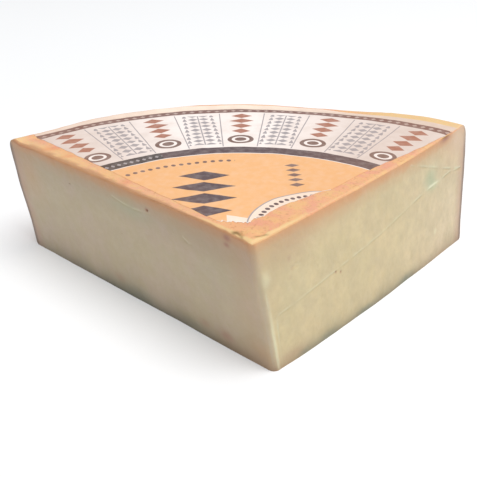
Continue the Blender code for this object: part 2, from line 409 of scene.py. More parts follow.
def surface_place(x, y, z, form):
    """Where a place on the regular wheel's surface lies in the finished piece, relief and wear included."""
    side, along, height = cut_place(x, y, z)
    roundings = (form.left_edge_rounding, form.right_edge_rounding)
    worn_x, worn_y, worn_z = worn_top_edge(x, y, z, roundings, form.tip_edge_rounding)
    place = uneven(worn_x, worn_y, worn_z)
    if side:
        fade = between(along, 0.0, 0.002)
        out = cut_relief(side, along, height, form.cut_relief, form.knife_mark_depth) * fade
        place += Vector((side, -1.0, 0.0)) / math.sqrt(2.0) * out
    rough = rind_relief(x, y, z, form.rind_relief)
    radius = math.hypot(x, y)
    if z > 0.0:
        place.z += rough * (1.0 - ease((WHEEL_HEIGHT - z) / RIND_FADE))
    outwards = Vector((x, y, 0.0)).normalized() * rough
    return place + outwards * between(radius, WHEEL_RADIUS - RIND_FADE, WHEEL_RADIUS)


def inner_label_radius(angle):
    """Where the label starts, seen from the wheel's centre."""
    if angle > 0.0:
        return profile_at(TEAR_CURVE, angle)
    sine, cosine = math.sin(math.radians(angle)), math.cos(math.radians(angle))
    return TEAR_RADIUS / (cosine + TEAR_SLOPE * sine)


def label_place(across, out, raggedness):
    """A place on the label in plan, from shares across (left to right) and out (centre to rim)."""
    angle = CUT_ANGLE * (across - 0.5)
    for _ in range(4):  # the margins depend on the radius, and the radius on the angle
        torn = raggedness * noise.noise(Vector((angle * 0.35, 0.0, 5.0)))
        radius = blend(inner_label_radius(angle) + torn, profile_at(LABEL_EDGE, angle), out)
        trimmed = 0.5 * raggedness * noise.noise(Vector((radius * 120.0, 0.0, 9.0)))
        left = LEFT_MARGIN + LEFT_MARGIN_SLOPE * radius + trimmed
        right = max(profile_at(RIGHT_MARGINS, radius) - trimmed, 0.0002)
        first = math.degrees(math.asin(left / radius)) - CUT_ANGLE / 2.0
        last = CUT_ANGLE / 2.0 - math.degrees(math.asin(right / radius))
        angle = blend(first, last, across)
    return radius * math.sin(math.radians(angle)), radius * math.cos(math.radians(angle))


# Materials.

MIX_FACTOR, MIX_A, MIX_B, MIX_RESULT = 0, 6, 7, 2  # the colour sockets of a Mix node


def linear(hex_colour):
    """An sRGB hex colour as linear red, green and blue."""
    parts = [int(hex_colour[i : i + 2], 16) / 255.0 for i in (1, 3, 5)]
    return tuple(p / 12.92 if p <= 0.04045 else ((p + 0.055) / 1.055) ** 2.4 for p in parts)


def feed(tree, node, inputs):
    """Links each of a node's inputs to a socket, or sets it to a value."""
    for key, value in inputs.items():
        if isinstance(value, bpy.types.NodeSocket):
            tree.links.new(value, node.inputs[key])
        else:
            node.inputs[key].default_value = value


def add(tree, kind, inputs=None, **settings):
    """Adds a node with its settings, feeds its inputs and returns its outputs."""
    node = tree.nodes.new("ShaderNode" + kind)
    for name, value in settings.items():
        setattr(node, name, value)
    feed(tree, node, inputs or {})
    return node.outputs


def per_mm(size):
    """The scale of a pattern on coordinates in metres whose features are about size millimetres."""
    return 1000.0 / size


def opaque(colour):
    return (*colour, 1.0)


def new_material(name):
    material = bpy.data.materials.new(name)
    material.use_nodes = True
    return material, material.node_tree, material.node_tree.nodes["Principled BSDF"]


def laid_over(tree, colour, layers):
    """Lays inks over a colour in turn, and returns the last colour.

    Each layer is (value, full, none, strength, ink): the ink covers by its strength where the value has
    reached full, and fades to nothing where it has reached none.
    """
    for value, full, none, strength, ink in layers:
        cover = {"Value": value, "From Min": full, "From Max": none, "To Min": strength, "To Max": 0.0}
        inputs = {MIX_FACTOR: add(tree, "MapRange", cover)["Result"], MIX_A: colour, MIX_B: opaque(ink)}
        colour = add(tree, "Mix", inputs, data_type="RGBA")[MIX_RESULT]
    return colour


def clouds_of(tree, place, sizes):
    """Noise for soft patches about as many millimetres across as each size says, from 0 to 1."""
    clouds = {}
    for number, size in enumerate(sizes):
        apart = add(tree, "VectorMath", {0: place, 1: (0.37 * number, 0.11, 0.0)}, operation="ADD")[0]
        clouds[size] = add(tree, "TexNoise", {"Vector": apart, "Scale": per_mm(size), "Detail": 3.0})["Fac"]
    return clouds


def relief(tree, place, grains):
    """The normal, bumped by noise: (size in millimetres, height in metres, strength) for each grain."""
    bumped = {}
    for size, height, strength in grains:
        grain = add(tree, "TexNoise", {"Vector": place, "Scale": per_mm(size), "Detail": 2.0})["Fac"]
        inputs = {"Height": grain, "Distance": height, "Strength": strength, **bumped}
        bumped = {"Normal": add(tree, "Bump", inputs)["Normal"]}
    return bumped["Normal"]


def surface_of(tree, names):
    """The place on the regular wheel, and the marks of these names, as store_surface keeps them."""
    painted = {name: add(tree, "Attribute", attribute_name=name)["Fac"] for name in names}
    return add(tree, "Attribute", attribute_name="wheel_place")["Vector"], painted


def paste_material(colours):
    """Pressed and ripened cheese paste, cut by hand with a long knife.

    It is dense, waxy and faintly translucent. Its tone drifts softly from place to place, it turns tan and
    then brown towards the rind, and it is dark along the foot, partly damp and partly painted contact shadow.
    The left cut is darker, partly drier paste and partly painted shade.
    """
    material, tree, shader = new_material("Pressed cheese paste, knife cut")
    marks = ("chalky", "mould_and_shade", "foot_warm", "foot_shadow_and_damp", "damp", "bruise_and_hollow_shade", "crease", "pale")
    place, painted = surface_of(tree, ("top_depth", "rim_depth", "ripe_and_shade", *marks))
    clouds = clouds_of(tree, place, (30.0, 22.0, 14.0, 9.0, 2.2, 5.0))
    across = {0: place, 1: (math.sqrt(0.5), math.sqrt(0.5), 0.0)}
    left_cut = add(tree, "VectorMath", across, operation="DOT_PRODUCT")["Value"]
    under_top, inside_rim = (
        add(tree, "Math", {0: clouds[9.0], 1: wander, 2: painted[depth]}, operation="MULTIPLY_ADD")[0]
        for wander, depth in ((0.004, "top_depth"), (0.005, "rim_depth"))
    )
    left_top, mottled_left = (
        add(tree, "Math", {0: left_cut, 1: steepness, 2: other}, operation="MULTIPLY_ADD")[0]
        for steepness, other in ((8.0, under_top), (-15.0, clouds[22.0]))
    )
    layers = [
        (clouds[30.0], 0.65, 0.35, 1.0, colours.paste_warm),
        (painted["rim_depth"], 0.020, 0.090, 0.8, colours.paste_pale),
        # The left cut: partly drier paste, partly painted shade of the cut turned away from the light.
        (left_cut, 0.0010, 0.0045, 1.0, colours.paste_dry_and_shaded),
        (mottled_left, 0.60, 0.45, 0.60, colours.paste_rosy),
        (clouds[14.0], 0.62, 0.42, 0.36, colours.paste_cool),
        (clouds[9.0], 0.60, 0.44, 0.16, colours.paste_speck),
        (clouds[5.0], 0.62, 0.42, 0.16, colours.paste_speck),
        (clouds[2.2], 0.70, 0.50, 0.12, colours.paste_speck),
        # Ripened, brownish patches, some of them painted shade.
        (painted["ripe_and_shade"], 1.0, 0.0, 1.0, colours.deep_rind),
        (inside_rim, 0.0040, 0.0140, 0.72, colours.rim_zone),
        (under_top, 0.0045, 0.0140, 0.70, colours.deep_rind),
        (under_top, 0.0035, 0.0085, 0.90, colours.under_rind),
        (under_top, 0.0016, 0.0030, 0.55, colours.rind_edge),
        (left_top, 0.0100, 0.0260, 0.14, colours.left_shade),
        (painted["rim_depth"], 0.0012, 0.0036, 0.80, colours.rim_edge),
    ]
    # Some of these marks are partly painted light: shadow along the foot, in the eyes and in the knife marks,
    # and highlights on the knife marks' lips and the upright edge.
    layers += [(painted[name], 1.0, 0.0, 1.0, getattr(colours, name)) for name in marks]
    rough = {"Value": clouds[14.0], "From Min": 0.3, "From Max": 0.7, "To Min": 0.42, "To Max": 0.54}
    feed(tree, shader, {
        "Base Color": laid_over(tree, opaque(colours.paste), layers),
        "Roughness": add(tree, "MapRange", rough)["Result"],
        "Subsurface Weight": 0.12,
        "Subsurface Radius": (1.0, 0.7, 0.35),
        "Subsurface Scale": 0.004,
        "Normal": relief(tree, place, ((7.0, 0.0009, 0.6), (2.5, 0.0002, 0.5), (1.0, 0.00006, 0.5))),
    })
    return material


def rind_material(colours):
    """Washed rind: a thin skin, rubbed with brine while the cheese ripened, matt and blotchy.

    The side is streaked by the rubbing and has a pale bloom, and the underside shows the shelf's boards.
    """
    material, tree, shader = new_material("Washed rind, rubbed with brine")
    place, painted = surface_of(tree, ("lip", "bare", "ripe_and_shade", "bruise_and_hollow_shade", "chalky", "side", "underside"))
    clouds = clouds_of(tree, place, (14.0, 5.0, 1.6))
    squeezed = {
        size: add(tree, "VectorMath", {0: place, 1: squeeze}, operation="MULTIPLY")[0]
        for size, squeeze in ((30.0, (1.0, 1.0, 6.0)), (12.0, (0.1, 1.0, 1.0)))
    }
    rubbed, boards = (clouds_of(tree, where, (size,))[size] for size, where in squeezed.items())
    streaks, bloom, grain = (
        add(tree, "Math", {0: pattern, 1: painted[where]}, operation="MULTIPLY")[0]
        for pattern, where in ((rubbed, "side"), (clouds[5.0], "side"), (boards, "underside"))
    )
    layers = (
        (clouds[14.0], 0.58, 0.42, 1.0, colours.rind_pink),
        (clouds[5.0], 0.62, 0.50, 0.55, colours.rind_yellow),
        (clouds[1.6], 0.70, 0.56, 0.45, colours.rind_brown),
        (streaks, 0.66, 0.46, 0.60, colours.rind_bare),
        (bloom, 0.66, 0.54, 0.40, colours.chalky),
        (grain, 0.62, 0.44, 0.35, colours.rind_brown),
        # The rolled rind along the cuts: lighter and yellower, partly painted highlight on its worn edges.
        (painted["lip"], 1.0, 0.0, 1.0, colours.rind_lip_and_highlight),
        (painted["chalky"], 1.0, 0.0, 1.0, colours.chalky),
        (painted["bare"], 1.0, 0.0, 1.0, colours.rind_bare),
        (painted["ripe_and_shade"], 1.0, 0.0, 1.0, colours.rind_red),
        # Painted shadow in the two dents at the tip.
        (painted["bruise_and_hollow_shade"], 1.0, 0.0, 1.0, colours.dent_shadow),
    )
    feed(tree, shader, {
        "Base Color": laid_over(tree, opaque(colours.rind), layers),
        "Roughness": 0.62,
        "Subsurface Weight": 0.05,
        "Subsurface Scale": 0.002,
        "Normal": relief(tree, place, ((3.0, 0.0004, 0.5), (1.1, 0.00028, 0.7))),
    })
    return material


def from_middle(tree, place, middle):
    """How far a place lies from a middle, across and up."""
    offset = add(tree, "VectorMath", {0: place, 1: (*middle, 0.0)}, operation="SUBTRACT")[0]
    return add(tree, "VectorMath", {0: offset}, operation="ABSOLUTE")[0]


# Each form gives how many millimetres a place lies outside it, and less than 0 inside it.


def oval(tree, place, middle, half):
    small = min(half)
    shares = {0: from_middle(tree, place, middle), 1: (small / half[0], small / half[1], 0.0)}
    reach = add(tree, "VectorMath", shares, operation="MULTIPLY")[0]
    reach = add(tree, "VectorMath", {0: reach}, operation="LENGTH")["Value"]
    return add(tree, "Math", {0: reach, 1: small}, operation="SUBTRACT")[0]


def lozenge(tree, place, middle, half):
    side = math.hypot(*half)
    shares = {0: from_middle(tree, place, middle), 1: (half[1] / side, half[0] / side, 0.0)}
    reach = add(tree, "VectorMath", shares, operation="DOT_PRODUCT")["Value"]
    return add(tree, "Math", {0: reach, 1: half[0] * half[1] / side}, operation="SUBTRACT")[0]


def bar(tree, place, middle, half):
    over = {0: from_middle(tree, place, middle), 1: (*half, 0.0)}
    parts = add(tree, "SeparateXYZ", {0: add(tree, "VectorMath", over, operation="SUBTRACT")[0]})
    return add(tree, "Math", {0: parts["X"], 1: parts["Y"]}, operation="MAXIMUM")[0]


def repeated(tree, angle, radius, pitch, first):
    """Places in a ring's cells, in millimetres: across each cell from its middle, and out from the centre."""
    across = angle
    for operation, other in (
        ("SUBTRACT", first - pitch / 2.0),
        ("FLOORED_MODULO", pitch),
        ("SUBTRACT", pitch / 2.0),
        ("MULTIPLY", math.pi / 180.0),
        ("MULTIPLY", radius),
    ):
        across = add(tree, "Math", {0: across, 1: other}, operation=operation)[0]
    return add(tree, "CombineXYZ", {"X": across, "Y": radius})[0]


def polar(tree, place):
    """How far a place lies from the centre, and its angle in degrees from upwards to the right."""
    radius = add(tree, "VectorMath", {0: place}, operation="LENGTH")["Value"]
    parts = add(tree, "SeparateXYZ", {0: place})
    turn = add(tree, "Math", {0: parts["X"], 1: parts["Y"]}, operation="ARCTAN2")[0]
    return radius, add(tree, "Math", {0: turn}, operation="DEGREES")[0]


def printed(tree, shapes):
    """A layer for each shape: (form, place, middle, half size, ink) and, for some, what it ends at."""
    layers = []
    for form, place, middle, half, ink, *ends in shapes:
        shape = form(tree, place, middle, half)
        for end in ends:
            shape = add(tree, "Math", {0: shape, 1: end}, operation="MAXIMUM")[0]
        layers.append((shape, -INK_EDGE, INK_EDGE, 1.0, ink))
    return layers


# The label's print, in millimetres and degrees around the label's centre.
BAND_RADIUS, BAND_HALF_WIDTH = 187.2, 3.5
RING_MIDDLE, RING_HALF_WIDTH, ROSETTE_RADIUS = 152.5, 26.5, 133.5
SLATE_RADIUS, PALE_LINE_RADIUS, FIELD_RADIUS = 120.9, 111.5, 110.8
DARK_END, STUD_RADIUS = ((-28.5, 115.3), (9.2, 5.6)), 116.0  # of the slate band, with light studs
BEAD_ROW, BEAD_RADIUS = ((-18.0, 100.0), (20.0, 5.0)), 100.0
ARC_CENTRE, ARC_RADIUS, ARC_LINE, ARC_DOTS = (44.7, 16.4), 38.2, 0.8, 33.8
CELL_PITCH = 9.5
ROSETTE_FIRST, EAR_FIRST = -15.5, -6.0
RING_LOZENGES = ((148.0, 6.0), (157.5, 7.0), (167.0, 8.0), (176.5, 7.0))  # how far out, and half width
LEAVES, LEAF_PITCH = (((3.6, 3.2), (3.3, 2.6)), ((9.0, 1.0), (1.4, 4.5))), 6.5
LARGE_LOZENGES = ((36.0, 14.0), (50.5, 17.0), (65.0, 17.0), (79.5, 14.0))  # how far up, and half width
SMALL_LOZENGES = (64.0, 70.5, 77.0, 83.5, 90.0)
ALL_ROUND = 90.0
INK_EDGE = 0.1  # how softly the ink ends, in millimetres


def label_print(tree, place, radius, angle, inks):
    """The printed layers, from the outer edge inwards."""
    wide, ear, divider, ticks, beads, studs = (
        repeated(tree, angle, radius, pitch, first)
        for pitch, first in (
            (2.0 * CELL_PITCH, ROSETTE_FIRST),
            (2.0 * CELL_PITCH, EAR_FIRST),
            (CELL_PITCH, ROSETTE_FIRST + CELL_PITCH / 2.0),
            (1.7, 0.0),
            (2.6, 0.0),
            (1.9, 0.0),
        )
    )
    parts = add(tree, "SeparateXYZ", {0: ear})
    leaf_up = add(tree, "Math", {0: parts["Y"], 1: LEAF_PITCH}, operation="FLOORED_MODULO")[0]
    leaf_side = add(tree, "Math", {0: parts["X"]}, operation="ABSOLUTE")[0]
    leaf = add(tree, "CombineXYZ", {"X": leaf_side, "Y": leaf_up})[0]
    around = add(tree, "CombineXYZ", {"X": angle, "Y": radius})[0]
    off_arc = add(tree, "VectorMath", {0: place, 1: (*ARC_CENTRE, 0.0)}, operation="SUBTRACT")[0]
    arc_reach, arc_turn = polar(tree, off_arc)
    dots = repeated(tree, arc_turn, arc_reach, 6.0, 0.0)
    slanted = add(tree, "VectorMath", {0: place, 1: (0.36, 0.93, 0.0)}, operation="DOT_PRODUCT")["Value"]
    strip = add(tree, "CombineXYZ", {"X": add(tree, "SeparateXYZ", {0: place})["X"], "Y": slanted})[0]
    sideways = add(tree, "Math", {0: angle}, operation="ABSOLUTE")[0]
    soil = add(tree, "TexNoise", {"Vector": place, "Scale": 1.0 / 12.0, "Detail": 3.0})["Fac"]

    paper = inks.paper_white
    ring = bar(tree, around, (0.0, RING_MIDDLE), (ALL_ROUND, RING_HALF_WIDTH))
    layers = printed(tree, [(bar, around, (0.0, 0.0), (ALL_ROUND, BAND_RADIUS), paper)])
    layers += [(sideways, 38.0, 10.0, 0.56, inks.soiled), (soil, 0.62, 0.42, 0.22, inks.soiled)]
    shapes = [
        (bar, around, (0.0, BAND_RADIUS), (ALL_ROUND, BAND_HALF_WIDTH), inks.band),
        (lozenge, ticks, (0.0, BAND_RADIUS), (1.8, 1.7), inks.band_tick),
        (bar, divider, (0.0, 152.0), (0.35, 30.0), inks.grey),
        (oval, wide, (0.0, ROSETTE_RADIUS), (8.0, 7.0), inks.brown),
        (oval, wide, (0.0, ROSETTE_RADIUS), (5.4, 4.6), paper),
        (oval, wide, (0.0, ROSETTE_RADIUS), (3.6, 3.0), inks.brown),
    ]
    shapes += [(lozenge, wide, (0.0, out), (half, 4.2), inks.russet) for out, half in RING_LOZENGES]
    shapes += [(lozenge, leaf, middle, half, inks.grey, ring) for middle, half in LEAVES]
    shapes += [
        (bar, ear, (0.0, RING_MIDDLE), (0.4, RING_HALF_WIDTH), inks.grey),
        (bar, around, (0.0, 0.0), (ALL_ROUND, SLATE_RADIUS), inks.slate),
        (bar, around, *DARK_END, inks.black),
        (lozenge, studs, (0.0, STUD_RADIUS), (1.3, 1.7), inks.grey, bar(tree, around, *DARK_END)),
        (bar, around, (0.0, 0.0), (ALL_ROUND, PALE_LINE_RADIUS), paper),
        (bar, around, (0.0, 0.0), (ALL_ROUND, FIELD_RADIUS), inks.field),
        (oval, beads, (0.0, BEAD_RADIUS), (1.3, 1.5), inks.brown, bar(tree, around, *BEAD_ROW)),
    ]
    shapes += [(lozenge, place, (-14.0, up), (half, 6.2), inks.slate) for up, half in LARGE_LOZENGES]
    shapes += [(lozenge, place, (35.0, up), (4.2, 2.3), inks.brown) for up in SMALL_LOZENGES]
    shapes += [
        (bar, strip, (7.5, 13.9), (10.5, 13.9), inks.margin),
        (oval, place, ARC_CENTRE, (ARC_RADIUS + ARC_LINE, ARC_RADIUS + ARC_LINE), inks.grey),
        (oval, place, ARC_CENTRE, (ARC_RADIUS, ARC_RADIUS), inks.margin),
        (oval, dots, (0.0, ARC_DOTS), (1.2, 1.4), inks.slate),
    ]
    return layers + printed(tree, shapes) + [(sideways, 38.0, 10.0, 0.12, inks.handled)]


def label_material(inks, axis):
    """Uncoated label paper, printed flat in a few inks and pasted on damp.

    The ink has sunk in, so it is matt and slightly uneven, and the paper shows its fibres.
    """
    material, tree, shader = new_material("Uncoated label paper, printed")
    coordinates = add(tree, "TexCoord")["Object"]
    centre = [-1000.0 * (axis[i] + LABEL_CENTRE[i]) for i in (0, 1)]
    inputs = {"Vector": coordinates, "Scale": (1000.0, 1000.0, 0.0), "Location": (*centre, 0.0)}
    place = add(tree, "Mapping", inputs)[0]
    worn = add(tree, "TexNoise", {"Vector": coordinates, "Scale": per_mm(4.0), "Detail": 3.0})["Fac"]
    torn = add(tree, "Attribute", attribute_name="from_tear")["Fac"]
    layers = label_print(tree, place, *polar(tree, place), inks)
    layers.append((torn, 0.0003, 0.0012, 0.85, inks.paper_core))
    layers.append((worn, 0.70, 0.40, 0.10, inks.paper_white))
    feed(tree, shader, {
        "Base Color": laid_over(tree, opaque(inks.margin), layers),
        "Roughness": 0.58,
        "Normal": relief(tree, coordinates, ((8.0, 0.0004, 0.5), (0.5, 0.00005, 0.5))),
    })
    return material


def floor_material(colour, glow):
    """A plain studio floor of opal glass, lit a little from beneath, so that shadows on it stay pale."""
    material, tree, shader = new_material("Studio floor, opal glass")
    feed(tree, shader, {
        "Base Color": opaque(colour),
        "Emission Color": opaque((1.0, 1.0, 1.0)),
        "Emission Strength": glow,
        "Roughness": 0.9,
        "Specular IOR Level": 0.1,
    })
    return material


# Settings.


def tint(name, description, hex_colour):
    """A colour setting."""
    return bpy.props.FloatVectorProperty(
        name=name, description=description, subtype="COLOR", min=0.0, max=1.0, default=linear(hex_colour)
    )


def length(name, description, metres):
    """A length setting."""
    return bpy.props.FloatProperty(
        name=name, description=description, subtype="DISTANCE", unit="LENGTH", precision=5, default=metres
    )


class CheeseForm(bpy.types.PropertyGroup):
    left_edge_rounding: length("Left edge rounding", "How round the left cut's edge is", 0.0018)
    right_edge_rounding: length("Right edge rounding", "How round the right cut's edge is", 0.0012)
    tip_edge_rounding: length("Tip edge rounding", "How round the top edges are at the tip", 0.0024)
    cut_relief: length("Cut relief", "How uneven the knife left the cuts", 0.00042)
    rind_relief: length("Rind relief", "How uneven the rind is", 0.00028)
    knife_mark_depth: length("Knife mark depth", "How deep the long knife marks are", 0.00035)
    paper_thickness: length("Paper thickness", "How thick the label is", 0.00010)
    paper_gap: length("Paste thickness", "How far the label stands off the rind", 0.00004)
    raggedness: length("Raggedness", "How uneven the label's trimmed and torn edges are", 0.0014)
    axis: bpy.props.FloatVectorProperty(
        name="Axis", description="Where the wheel's axis stands", size=2, subtype="XYZ", unit="LENGTH"
    )


class CheeseColours(bpy.types.PropertyGroup):
    paste: tint("Paste", "The paste inside", "#D5C396")
    paste_warm: tint("Warm paste", "Warmer patches", "#DAC69A")
    # Partly drier paste, partly painted shade of the left cut, which is turned away from the light.
    paste_dry_and_shaded: tint("Dry paste", "The left cut, older and drier", "#C5B497")
    paste_pale: tint("Pale paste", "Towards the rim", "#E3CFAC")
    paste_rosy: tint("Rosy paste", "Pinker patches of the left cut", "#C8B29E")
    paste_cool: tint("Cool paste", "Cooler, curdier patches", "#C8B997")
    paste_speck: tint("Specks", "Small darker specks", "#B8A57F")
    deep_rind: tint("Ripened paste", "Brownish, some way in from the rind", "#CEA57C")
    rim_zone: tint("Rim zone", "Pinkish, just inside the rim", "#C29A86")
    under_rind: tint("Under the rind", "Tan, just under the rind", "#D49D6E")
    rind_edge: tint("Rind edge", "The rind, cut through", "#BE8454")
    left_shade: tint("Left shade", "Darker, along the left cut's top", "#7E5A48")
    rim_edge: tint("Rim edge", "The rind at the rim, cut through", "#7E6E64")
    # Partly damp, partly painted contact shadow along the foot.
    foot_shadow_and_damp: tint("Dark foot", "The dark, damp edge along the foot", "#5A5848")
    foot_warm: tint("Warm foot", "The brown, rubbed edge near the foot's ends", "#956645")
    damp: tint("Damp", "Greenish patches at the foot", "#6A7668")
    crease: tint("Crease", "The shaded bottom of a knife mark", "#A39168")
    # Reddish spots, and painted shade in the eyes.
    bruise_and_hollow_shade: tint("Bruise", "Reddish spots in the paste", "#A87564")
    # Grey-green tinge, partly painted shade by the tip of the right cut.
    mould_and_shade: tint("Mould", "Grey-green tinge in the paste", "#A9B894")
    # Partly painted highlight: on the lips of the knife marks, a nub and the upright edge by the tip.
    pale: tint("Pale fleck", "Light flecks along the knife marks", "#E8E5C2")
    chalky: tint("Chalky", "Pale, dried patches of rind and paste", "#DCC2A6")
    rind: tint("Rind", "The rind's main colour", "#E4AC7C")
    rind_pink: tint("Pink rind", "Pinker patches of the rind", "#E0A080")
    rind_yellow: tint("Yellow rind", "Yellower patches of the rind", "#E2B67A")
    # Lighter and yellower rolled rind, partly painted highlight on its worn edges.
    rind_lip_and_highlight: tint("Rind lip", "Rolled and yellower, along the cuts", "#E2BF88")
    rind_bare: tint("Bare rind", "The worn edge along the left cut", "#BC8C66")
    rind_red: tint("Red rind", "Red blots in the rind", "#DC8058")
    rind_brown: tint("Brown rind", "Small brown pits in the rind", "#B57F55")
    # Painted shadow in the two dents at the tip.
    dent_shadow: tint("Dent", "The brown dents at the tip", "#8A6A3C")


class LabelInks(bpy.types.PropertyGroup):
    margin: tint("Margin", "The bare paper at the outer edge", "#F4DDC9")
    paper_white: tint("Paper white", "The printed ring's ground", "#F6EAE3")
    soiled: tint("Soiled paper", "The ring where handling dulled it", "#C8B4A7")
    handled: tint("Handled", "The label's tan tinge towards the cuts", "#C98F60")
    band: tint("Band", "The dark band near the outer edge", "#7E5C54")
    band_tick: tint("Band tick", "The light lozenges in the dark band", "#B79F95")
    brown: tint("Brown", "Rosettes and beads", "#7C6158")
    russet: tint("Russet", "Lozenges in the ring", "#A9705C")
    grey: tint("Grey", "Ears, leaves and hairlines", "#A39B9C")
    slate: tint("Slate", "The inner band and the large lozenges", "#5C4B4D")
    black: tint("Black", "The inner band's dark end", "#413F40")
    paper_core: tint("Paper core", "The unprinted fibres along the torn edge", "#F0E6DC")
    field: tint("Field", "The label's middle", "#EDB47C")


class StudioSettings(bpy.types.PropertyGroup):
    floor: tint("Floor", "The studio floor", "#D4D4D4")
    glow: bpy.props.FloatProperty(
        name="Glow", description="How strongly the floor is lit from beneath", min=0.0, default=0.26
    )
    sky: tint("Sky", "The light from all around", "#E6EAF0")
    sky_strength: bpy.props.FloatProperty(
        name="Sky strength", description="Brightness of the light from all around", min=0.0, default=0.41
    )
    key_power: bpy.props.FloatProperty(
        name="Key power", description="Power of the soft light", subtype="POWER", unit="POWER", default=175.0
    )
    lens: bpy.props.FloatProperty(
        name="Lens", description="Focal length of the camera", unit="CAMERA", default=54.87
    )


# Pieces.


def new_grid(name, columns, rows):
    """A flat grid over the unit square, with its object at the origin."""
    bpy.ops.object.select_all(action="DESELECT")
    bpy.ops.mesh.primitive_grid_add(
        x_subdivisions=columns, y_subdivisions=rows, size=1.0, location=(0.5, 0.5, 0.0)
    )
    grid = bpy.context.object
    grid.name = grid.data.name = name
    bpy.ops.object.transform_apply(location=True, rotation=False, scale=False)
    return grid


def apply_modifier(piece, kind, **settings):
    modifier = piece.modifiers.new(kind.title(), kind)
    for name, value in settings.items():
        setattr(modifier, name, value)
    bpy.ops.object.modifier_apply(modifier=modifier.name)


def spin_quarter(piece):
    """Turns the half-section into a closed quarter: a copy of it at the other cut, and its outline spun."""
    around = {"angle": -math.radians(CUT_ANGLE), "center": (0.0, 0.0, 0.0), "axis": (0.0, 0.0, 1.0)}
    bpy.ops.object.mode_set(mode="EDIT")
    bpy.context.tool_settings.mesh_select_mode = (False, True, False)
    bpy.ops.mesh.select_all(action="SELECT")
    bpy.ops.mesh.spin(steps=1, dupli=True, **around)
    bpy.ops.mesh.select_all(action="DESELECT")
    bm = bmesh.from_edit_mesh(piece.data)
    for edge in bm.edges:
        first, second = edge.verts[0].co, edge.verts[1].co
        on_axis = max(math.hypot(first.x, first.y), math.hypot(second.x, second.y)) < MERGE_DISTANCE
        right_cut = first.x + second.x > 0.0
        edge.select_set(edge.is_boundary and right_cut and not on_axis)
    bmesh.update_edit_mesh(piece.data)
    bpy.ops.mesh.spin(steps=QUARTER_COLUMNS, dupli=False, **around)
    bpy.ops.mesh.select_all(action="SELECT")
    bpy.ops.mesh.remove_doubles(threshold=MERGE_DISTANCE)
    bpy.ops.mesh.normals_make_consistent(inside=False)
    bpy.ops.object.mode_set(mode="OBJECT")


def refine_marks(piece):
    """Divides the mesh more finely where knife marks and eyes need it."""
    bpy.ops.object.mode_set(mode="EDIT")
    bpy.context.tool_settings.mesh_select_mode = (False, False, True)
    bpy.ops.mesh.select_all(action="DESELECT")
    bm = bmesh.from_edit_mesh(piece.data)
    for face in bm.faces:
        side, along, height = cut_place(*face.calc_center_median())
        face.select_set(side != 0 and near_a_mark(side, along, height))
    bmesh.update_edit_mesh(piece.data)
    bpy.ops.mesh.subdivide(number_cuts=2)
    bpy.ops.object.mode_set(mode="OBJECT")


TOP = 2  # marks on the top are placed in plan, from the wheel's axis
